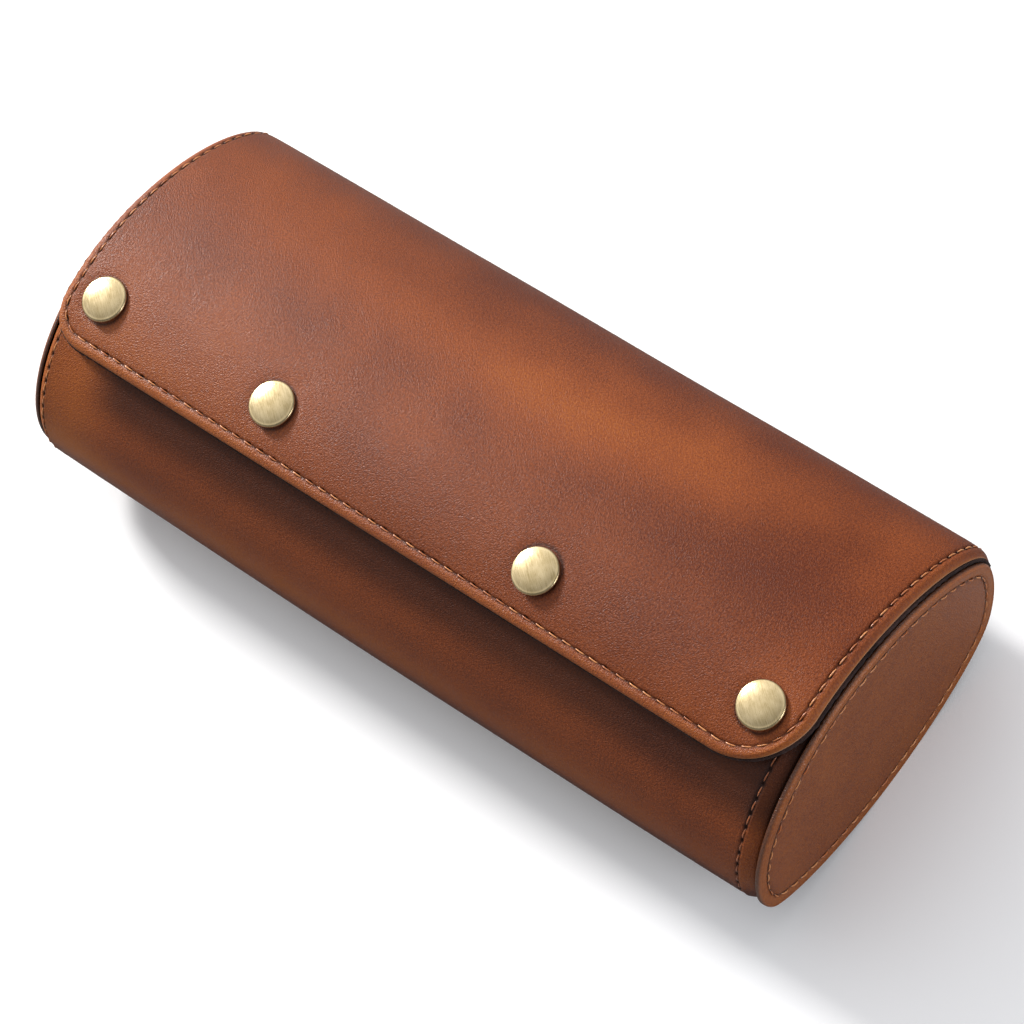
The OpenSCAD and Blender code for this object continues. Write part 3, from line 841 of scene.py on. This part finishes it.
def body_seam_holes(side):
    a = np.arange(HINGE_ANGLE, HINGE_ANGLE + 360.2, 0.2)
    path = np.stack([np.full(len(a), BODY_SEAMS[side]), ring_length(a)], -1)
    return points_along(path, hole_places(ring_length(a)[-1]))


def wrap_shape(x, a, d):
    s = ring_length(a)
    seam = np.where(x < 0, BODY_SEAMS[-1] - x, x - BODY_SEAMS[1])
    valley = VALLEY_DEPTH * bell(seam, VALLEY_W)
    end = WRAP_END - np.abs(x)
    up = -valley - rounded(end, EDGE_R) - rounded(np.maximum(d, 0), EDGE_R)
    belly = 0.75 * MM * (1 - (x / WRAP_END) ** 2) * bell(a - 200, 32)
    up += belly + 0.12 * MM * waves(x, s, 11, 70 * MM) * (a > LIP_ANGLE + 12) * (a < 330)
    order = np.argsort(ring_length(a[:, 0]))
    holes = np.vstack([body_seam_holes(1), body_seam_holes(-1)])
    pressed = dimples(x, s[order], holes)[np.argsort(order)]
    up -= pressed
    down = np.zeros(x.shape)
    # The seam line is burnished; the needle holes are painted shade
    burnish_and_shade = 0.5 * bell(seam, 0.45 * MM) + 1.1 * pressed / HOLE_DEPTH
    burnish_and_shade += 0.5 * np.exp(-end / (0.5 * MM)) * (x > 0)
    burnish_and_shade += 0.25 * fade(-seam, 2.0 * MM)
    burnish_and_shade += 0.5 * np.exp(-np.maximum(d, 0) / (0.6 * MM))
    # Painted shadow under the flap's front edge, fading out at the left end
    burnish_and_shade += 0.70 * smooth((143 - a) / 14) * smooth((x + 107 * MM) / (16 * MM))
    # Random waves of tone, and a painted reflection of the floor: a light band low on the front that fades
    # to the right
    tone = 0.10 * waves(x, s, 21, 40 * MM) + (0.62 - 0.20 * x / WRAP_END) * bell(a - 166, 10)
    # Painted shade: darker where the wall faces down towards the floor, more so to the right
    tone -= (0.55 + 0.40 * x / WRAP_END) * smooth((a - 173) / 12)
    tone += 0.22 * (seam > 0) * (end > 0)
    # Painted light: the body under the flap's left end is made lighter where light reaches in
    tone += 0.60 * smooth((-86 * MM - x) / (24 * MM)) * smooth((182 - a) / 16)
    # Painted highlight: a pale line along the wrap's cut edge at the left end
    tone += 2.4 * bell(end, 0.20 * MM) * (x < 0)
    return up, down, {"rest": flat_rest(x, s), "tone": tone, "burnish_and_shade": np.clip(burnish_and_shade, 0, 0.97)}


def lining_shape(x, a, d):
    soft = 0.08 * MM * waves(x, ring_length(a), 31, 18 * MM)
    return np.zeros(x.shape), soft, {"rest": flat_rest(x, ring_length(a))}


seams = tuple(BODY_SEAMS.values())
wrap = open_wall("body_hide", 0.0, -LEATHER_T, WRAP_END, GRID * 1.15, GRID, wrap_shape, seams)
finish_piece(wrap, body_leather_tone_and_shade, "case", "leather", "outer_wrap")
lining = open_wall("body_lining", -LEATHER_T - BOARD_T, -WALL_T, LINING_END, 3 * MM, 2 * MM, lining_shape)
finish_piece(lining, lining_suede, "case", "suede", "shell_lining")

for side, word in SIDES:
    a = np.arange(HINGE_ANGLE, HINGE_ANGLE + 360.1, 0.25)
    row = np.full(len(a), BODY_SEAMS[side])
    on_wrap = wall_point(row, a, inward(row, 0.0))
    seam_thread = stitches(f"{word}_body_thread", on_wrap, wall_point(row, a, MM) - wall_point(row, a, 0))
    finish_piece(seam_thread, thread if side < 0 else painted_shade_thread, "case", "leather")


def collar(side, word):
    a = np.arange(0, 360, 1.5)
    cols = np.concatenate([np.linspace(MOUTH_HALF, DRAW_X, 5), np.linspace(DRAW_X, PANEL_IN, 6)[1:]])
    x, a = np.meshgrid(cols * side, a)
    rings = [wall_point(x, a, inward(x, off)) for off in (-LEATHER_T, -LEATHER_T - BOARD_T)]
    plain = np.zeros(x.shape)
    attributes = {"rest": flat_rest(x, ring_length(a)), "tone": plain, "burnish_and_shade": plain}
    return slab(f"{word}_collar_strip", *rings[::side], wrap=True, attributes=attributes)


for side, word in SIDES:
    finish_piece(collar(side, word), collar_leather, "case", "edge_leather", f"{word}_collar")


def mouth_edge():
    """Rolled leather edge that covers the board round the mouth."""
    half_t, bulge, sides = WALL_T / 2 - 0.15 * MM, 0.75 * MM, 9
    angles = np.linspace(HINGE_ANGLE, LIP_ANGLE, 70)
    xs = np.linspace(-MOUTH_HALF, MOUTH_HALF, 90)
    edges = (
        [(x, LIP_ANGLE) for x in xs], [(MOUTH_HALF, a) for a in angles[::-1]],
        [(x, HINGE_ANGLE) for x in xs[::-1]], [(-MOUTH_HALF, a) for a in angles],
    )
    stations = []
    for k, edge in enumerate(edges):
        stations += [(*place, 90 * k) for place in edge]
        stations += [(*edge[-1], 90 * k + more) for more in range(15, 90, 15)]
    turn = np.radians(np.linspace(-90, 90, sides))
    verts = []
    for x, a, facing in stations:
        tilt, facing = math.radians(a), math.radians(facing)
        n = np.array([0, math.cos(tilt), math.sin(tilt)])
        t = np.array([0, -math.sin(tilt), math.cos(tilt)])
        into = np.array([-math.sin(facing), 0, 0]) - t * math.cos(facing)
        p = wall_point(x, a, -WALL_T / 2)
        row = [p + n * half_t * math.sin(k) + into * bulge * math.cos(k) for k in turn]
        verts.append(row + [p - into * 0.1 * MM])
    verts = np.array(verts)
    a = np.arange(verts[..., 0].size).reshape(verts.shape[:2])
    b = np.roll(a, -1, 0)
    quads = np.stack([a, b, np.roll(b, -1, 1), np.roll(a, -1, 1)], -1)
    verts = verts.reshape(-1, 3)
    zero = np.zeros(len(verts))
    attributes = {"rest": verts, "tone": zero, "burnish_and_shade": zero + 0.35}
    return mesh_object("mouth_edge", verts, quads, attributes=attributes)


finish_piece(mouth_edge(), body_leather_tone_and_shade, "case", "leather")

# --- Ends ---

# Rings of an end panel shrink to its middle from SWALLOW on, over MIDDLE
SWALLOW, MIDDLE = 7.5 * MM, 30 * MM
RIM_ANGLES = np.arange(0, 360.05, 0.05)
RIM_LENGTH = seam_path(oval(RIM_ANGLES))

# How far each panel's rim is inside the body's oval, where its face is, and how dark its rim and face are
# made, by painted shade and, on the left rim, a dyed edge: the left one is cut smaller and is darker
END_EDGE = {-1: 1.0 * MM, 1: 0.1 * MM}
END_OUT = {-1: HALF - 0.5 * MM, 1: HALF}
END_SHADE = {-1: (0.6, 0.35), 1: (0.75, 0.0)}


def end_panel(side, word):
    """Closed solid of rings (x, offset inside the body), with the seam pressed into its face."""
    edge, out = END_EDGE[side], END_OUT[side]
    seam_at, turned, deepest = edge + END_SEAM_INSET, edge + END_LEATHER_T, MIDDLE - MM
    turn = np.radians(np.arange(0, 91, 11.25))
    rim = [(out - END_LEATHER_T * (1 - math.sin(k)), edge + END_LEATHER_T * (1 - math.cos(k))) for k in turn]
    face = [*np.arange(turned, SWALLOW, 0.3 * MM)[1:], *(SWALLOW + np.arange(30) * MM)]
    back = [(out - END_LEATHER_T, d) for d in (SWALLOW + deepest, SWALLOW, turned)]
    back += [(PANEL_IN, turned), (PANEL_IN, edge + 0.25 * MM), (PANEL_IN + 0.25 * MM, edge)]
    profile = back + rim + [(out, d) for d in face]
    first_face = len(back) + len(rim) - 3
    step = 0.62 * MM
    a = np.interp(np.arange(0, RIM_LENGTH[-1] - step / 2, step), RIM_LENGTH, RIM_ANGLES)
    along = np.interp(a, RIM_ANGLES, RIM_LENGTH)
    hole = np.min(np.abs(along[:, None] - hole_places(RIM_LENGTH[-1])), axis=1)
    centre = oval(np.arange(0, 360, 1.0), -SWALLOW).mean(0)
    verts, rest = [], []
    for k, (x, depth) in enumerate(profile):
        if depth <= SWALLOW:
            yz = oval(a, -depth)
        else:
            yz = centre + (oval(a, -SWALLOW) - centre) * (1 - (depth - SWALLOW) / MIDDLE)
        rest.append(at_x(x, yz)[:, [1, 2, 0]])
        if k >= first_face:
            inside = depth - seam_at
            pressed = 0.3 * MM * bell(hole, 0.42 * MM) * bell(inside, 0.42 * MM)
            valley = 0.42 * MM * bell(inside, 0.75 * MM)
            x = x + (0.35 * MM * smooth(inside / (24 * MM)) - valley - pressed - 0.35 * MM)
        verts.append(at_x(x * side, yz))
    verts = np.concatenate([*verts, [verts[0].mean(0)], [verts[-1].mean(0)]])
    rest = np.concatenate([*rest, [[*centre, profile[0][0]], [*centre, profile[-1][0]]]])
    quads, tris = ring_faces(len(profile), len(a))
    outside, depths = np.repeat(profile, len(a), axis=0).T
    outside = np.append(outside, [profile[0][0], profile[-1][0]])
    inside = np.append(depths, [MIDDLE, MIDDLE]) - seam_at
    rim_shade, face_shade = END_SHADE[side]
    burnish_and_shade = 0.6 * bell(inside, 0.4 * MM) + 0.2 * fade(inside, 1.2 * MM)
    # Rim and face darkened: painted shade, with a dyed edge on the left rim
    burnish_and_shade += rim_shade * smooth((out - 0.5 * MM - outside) / (0.8 * MM)) + face_shade
    tone = 0.10 * waves(rest[:, 0], rest[:, 1], 41, 22 * MM) + 0.20 * (inside < 0) - 0.18 * (inside > 0)
    attributes = {"rest": rest, "tone": tone, "burnish_and_shade": np.clip(burnish_and_shade, 0, 0.85)}
    return mesh_object(f"{word}_end_hide", verts, quads[:, ::side], tris[:, ::side], attributes)


def end_lining(side, word):
    a = np.arange(0, 360, 1.5)
    depth = -float(inward(WRAP_END, -LEATHER_T - BOARD_T))
    scale = np.array([1.0, 0.995, 0.97, 0.9, 0.7, 0.4, 0.05])
    lift = np.array([0.0, 0.25, 0.45, 0.55, 0.6, 0.6, 0.6]) * MM
    centre = oval(a, -depth).mean(0)
    rows = [centre + (oval(a, -depth) - centre) * k for k in scale]
    inner = [at_x(LINING_END - h * 0.5, r) for r, h in zip(rows, lift)]
    outer = [at_x(PANEL_IN, r) for r in rows]
    faces = [np.swapaxes(grid, 0, 1) * [side, 1, 1] for grid in (inner, outer)]
    rest = faces[0][..., [1, 2, 0]]
    return slab(f"{word}_end_suede", *faces[::side], wrap=True, attributes={"rest": rest})


def end_thread(side, word):
    a = np.arange(0, 360.2, 0.25)
    depth = END_EDGE[side] + END_SEAM_INSET
    points = at_x(side * (END_OUT[side] - 0.35 * MM), oval(a, -depth))
    outward = np.tile([float(side), 0, 0], (len(a), 1))
    return stitches(f"{word}_end_thread", points[::-side], outward, sink=-0.08 * MM)


for side, word in SIDES:
    finish_piece(end_panel(side, word), end_leather_painted_light, "case", "leather", f"{word}_end_panel")
    finish_piece(end_lining(side, word), lining_suede, "case", "suede", f"{word}_end_lining")
    finish_piece(end_thread(side, word), painted_light_end_thread, "case", "leather")


# --- Dividers ---


def divider(side, word):
    """Suede folded over a board, with a rounded top edge."""
    middle = side * (divider_low[0] + divider_high[0]) / 2
    half_t = (divider_high[0] - divider_low[0]) / 2
    bottom, top = divider_low[2], divider_high[2]
    fine = oval(np.arange(0, 360, 0.2), -WALL_T)
    front = fine[fine[:, 0] < BODY_Y]
    back = fine[fine[:, 0] >= BODY_Y]
    z = np.unique(np.concatenate([
        np.linspace(bottom + 0.05 * MM, bottom + 2 * MM, 8), np.linspace(bottom + 2 * MM, top - half_t, 40),
        top - half_t * (1 - np.sin(np.radians(np.arange(0, 91, 10)))),
    ]))
    front, back = (np.interp(z, *part[np.argsort(part[:, 1])].T[::-1])[:, None] for part in (front, back))
    u = np.linspace(0, 1, 60)
    y = front * (1 - u) + back * u
    z = np.repeat(z[:, None], len(u), 1)
    thick = half_t * np.sqrt(np.clip(1 - np.clip((z - top + half_t) / half_t, 0, 1) ** 2, 0.0004, 1))
    ripple = 0.06 * MM * waves(y, z, 51, 14 * MM)
    right = np.stack([middle + thick + ripple, y, z], -1)
    left = np.stack([middle - thick + ripple, y, z], -1)
    return slab(f"{word}_divider_suede", right, left, attributes={"rest": right[..., [1, 2, 0]]})


for side, word in SIDES:
    finish_piece(divider(side, word), lining_suede, "case", "suede", f"{word}_divider_cover")

# --- Cushions ---

CUSHION_SEAM = 7 * MM


def cushion(word):
    """Pillow with crowned faces; a sewn seam runs round it near each end."""
    low, high = box(f"{word}_cushion_cover")
    middle, half = (low + high) / 2, (high - low) / 2
    power = 2 / 5
    around = np.radians(np.arange(0, 360, 3.0))
    t = np.radians(np.linspace(0.5, 179.5, 110))
    x = -np.sign(np.cos(t)) * np.abs(np.cos(t)) ** power
    r = np.sin(t) ** power
    xg, ag = np.meshgrid(x, around, indexing="ij")
    rg = np.repeat(r[:, None], len(around), 1)
    y, z = rg * np.cos(ag), rg * np.sin(ag)
    px = xg * half[0]
    past_seam = np.abs(px) - (half[0] - CUSHION_SEAM)
    seam = 0.45 * MM * bell(past_seam, 0.8 * MM)
    gathers = np.sin(ag * 34 + 2 * np.sin(ag * 5))
    pucker = 0.16 * MM * bell(past_seam, 4 * MM) * gathers
    dent = (seam + pucker * (1 - np.abs(xg) ** 6) + 0.22 * MM * (1 + waves(px, ag * 0.025, 61, 26 * MM)) / 2)
    scale = 1 - dent / half[2]
    verts = np.stack([px + middle[0], y * scale * half[1] + middle[1], z * scale * half[2] + middle[2]], -1)
    poles = [[low[0], middle[1], middle[2]], [high[0], middle[1], middle[2]]]
    verts = np.concatenate([verts.reshape(-1, 3), poles])
    quads, tris = ring_faces(*px.shape)
    rest = np.stack([px, ag * 0.025, rg * 0.02], -1).reshape(-1, 3)
    rest = np.concatenate([rest, [[-half[0], 0, 0], [half[0], 0, 0]]])
    piece = mesh_object(f"{word}_cushion", verts, np.roll(quads, -1, 1), tris, {"rest": rest})
    inside = (f"{word}_cushion_cover", f"{word}_cushion_core")
    finish_piece(piece, microfibre, f"{word}_cushion", "microfibre", *inside)


for word in ("left", "middle", "right"):
    cushion(word)

# --- Snaps ---

SHANK_R, SHANK_WALL, SHANK_END = 3.4 * MM, 0.45 * MM, 1.14 * MM

# The caps were set by hand: how far each is off the row, and how they all lean back, in degrees
CAP_DRIFT = (0.2 * MM, 0.0, -0.7 * MM, 0.5 * MM)
CAP_TILT = 7.0


def snap_caps():
    """Pressed brass caps: a shallow dome, a rolled rim and a thin shadow gap underneath."""
    dome, roll, out = 0.85 * MM, 0.65 * MM, GAP_SNAP + FLAP_T
    edge, bore = CAP_D / 2, SHANK_R - SHANK_WALL
    turn = np.radians(np.arange(0, 91, 10))
    rim = zip(edge - roll * (1 - np.cos(turn)), CAP_H - dome - roll * (1 - np.sin(turn)))
    face = np.linspace(edge - roll, 0.3 * MM, 16)[1:]
    profile = [
        (0.3 * MM, 0.6 * MM), (bore, 0.6 * MM), (bore, SHANK_END - out), (SHANK_R, SHANK_END - out),
        (SHANK_R, 0.1 * MM), (edge - 1.0 * MM, 0.15 * MM), (edge - 0.25 * MM, 0.22 * MM), (edge, 0.45 * MM),
        *rim, *zip(face, CAP_H - dome * (face / (edge - roll)) ** 2.4),
    ]
    facing = math.radians(SNAP_ANGLE - CAP_TILT)
    up = np.array([0, math.cos(facing), math.sin(facing)])
    back = np.array([0, math.sin(facing), -math.cos(facing)])
    cap, quads, tris = lathe(profile, 96)
    cap = cap @ [[1, 0, 0], back, up]
    centres = [[x, *oval(SNAP_ANGLE, out)] + back * drift for x, drift in zip(SNAP_XS, CAP_DRIFT)]
    before = np.arange(len(centres))[:, None, None] * len(cap)
    return mesh_object("brass_caps", [centre + cap for centre in centres], quads + before, tris + before)


finish_piece(snap_caps(), brass, "flap", "brass", "snap_caps")

for material, nodes in (
    (plain_brass, ("snap_studs", "snap_posts", "snap_sockets", "snap_springs")),
    (board_material(), ("shell_board", "left_end_board", "right_end_board", "left_divider_board",
                        "right_divider_board")),
):
    for node in nodes:
        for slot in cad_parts[node].material_slots:
            slot.material = material

# --- Floor, light and camera ---

CAMERA_AT = (436.31 * MM, -210.02 * MM, 918.90 * MM)
CAMERA_TURN, CAMERA_ROLL = (24.959, 13.566, 37.447), 0.09
CAMERA_LENS, CAMERA_SENSOR = 140.15, 36

camera = bpy.data.objects.new("camera", bpy.data.cameras.new("camera"))
camera.data.lens, camera.data.sensor_width = CAMERA_LENS, CAMERA_SENSOR
camera.data.shift_x, camera.data.shift_y = -0.0005, 0.0008
camera.location = CAMERA_AT
turn = Euler([math.radians(v) for v in CAMERA_TURN]).to_matrix()
turn = turn @ Matrix.Rotation(math.radians(CAMERA_ROLL), 3, "Z")
camera.rotation_euler = turn.to_euler()
scene.collection.objects.link(camera)
scene.camera = camera
scene.view_settings.view_transform = "Standard"

FLOOR_GLOW = 0.085
STUDIO_SIDE = (-0.60, 0.30, 0.742)
STUDIO_LOW, STUDIO_HIGH, STUDIO_STEEP = 0.22, 1.35, 3.2


def floor():
    """Pale floor: the camera sees it white, and it keeps the case's shadow."""
    size = 3.0
    corners = [(-size, -size, 0), (size, -size, 0), (size, size, 0), (-size, size, 0)]
    piece = mesh_object("floor", corners, [[0, 1, 2, 3]])
    m = new_material("pale_floor")
    rays = (m.node("LightPath", {}, f"Is {kind} Ray") for kind in ("Camera", "Transmission"))
    seen = m.math("MAXIMUM", *rays)
    colour = m.mix(seen, (0.34, 0.33, 0.32), (0.92, 0.92, 0.93))
    m.set(Base_Color=colour, Roughness=0.9, Specular_IOR_Level=0.1)
    strength = m.math("MULTIPLY", seen, FLOOR_GLOW)
    glow = m.node("Emission", {"Color": (1.0, 1.0, 1.0, 1), "Strength": strength})
    both = m.node("AddShader", {0: m.surface.outputs[0], 1: glow})
    m.link(both, m.tree.nodes["Material Output"].inputs["Surface"])
    piece.data.materials.append(m.owner)


def area_light(name, at, target, size, power, colour):
    data = bpy.data.lights.new(name, "AREA")
    data.shape = "RECTANGLE"
    data.size, data.size_y = size
    data.energy = power
    data.color = colour
    light = bpy.data.objects.new(name, data)
    light.location = at
    light.rotation_euler = (Vector(target) - Vector(at)).to_track_quat("-Z", "Y").to_euler()
    scene.collection.objects.link(light)


floor()
area_light("key", (-1.72, 0.34, 1.02), (0, 0, 0.03), (0.36, 0.36), 48, (1.0, 0.985, 0.96))
area_light("fill", (1.42, 0.26, 0.50), (0.10, 0, 0.03), (0.7, 0.5), 7.5, (0.88, 0.92, 1.0))


def studio():
    """Soft light all round: brightest above the case's left end and dimmest low on the right. The camera
    sees plain white."""
    m = Shader(bpy.data.worlds.new("studio"), "Background")
    view = m.node("TexCoord", {}, "Generated")
    towards = m.node("VectorMath", {0: view, 1: STUDIO_SIDE}, "Value", operation="DOT_PRODUCT")
    steep = m.math("POWER", m.remap(towards, -0.3, 1.0), STUDIO_STEEP)
    level = m.math("MULTIPLY_ADD", steep, STUDIO_HIGH, STUDIO_LOW)
    seen = m.node("LightPath", {}, "Is Camera Ray")
    m.set(Color=(0.985, 0.99, 1.0, 1), Strength=m.node("Mix", {0: seen, 2: level, 3: 1.0}))
    scene.world = m.owner


studio()
